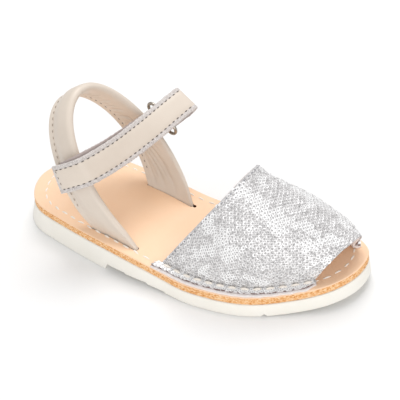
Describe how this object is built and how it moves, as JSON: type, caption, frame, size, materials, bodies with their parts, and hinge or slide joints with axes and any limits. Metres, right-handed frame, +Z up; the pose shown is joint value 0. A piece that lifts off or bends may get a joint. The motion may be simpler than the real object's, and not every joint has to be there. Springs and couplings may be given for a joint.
{
  "type": "avarca sandal",
  "caption": "Child's open-toe sandal with an arched cloth vamp, padded heel loop, folded instep strap and a low rubber sole.",
  "frame": {"origin": "on the floor, below the middle of the shoe's bounding box", "axes": "+X towards the toe, +Y towards the foot's inner side, +Z up"},
  "size_m": [0.1686, 0.0756, 0.0698],
  "materials": {
    "outsole": "moulded foam rubber, matt",
    "insole": "natural tanned leather",
    "vamp": "cloth covered with silver sequins",
    "heel_strap": "soft padded leather, satin",
    "instep_strap": "smooth leather, satin",
    "ring": "nickel-plated wire",
    "ring_tab": "smooth leather, satin"
  },
  "bodies": {
    "root": {"outsole": "outsole", "insole": "insole", "vamp": "vamp", "heel_strap": "heel_strap", "instep_strap": "instep_strap", "ring": "ring", "ring_tab": "ring_tab"}
  },
  "joints": []
}
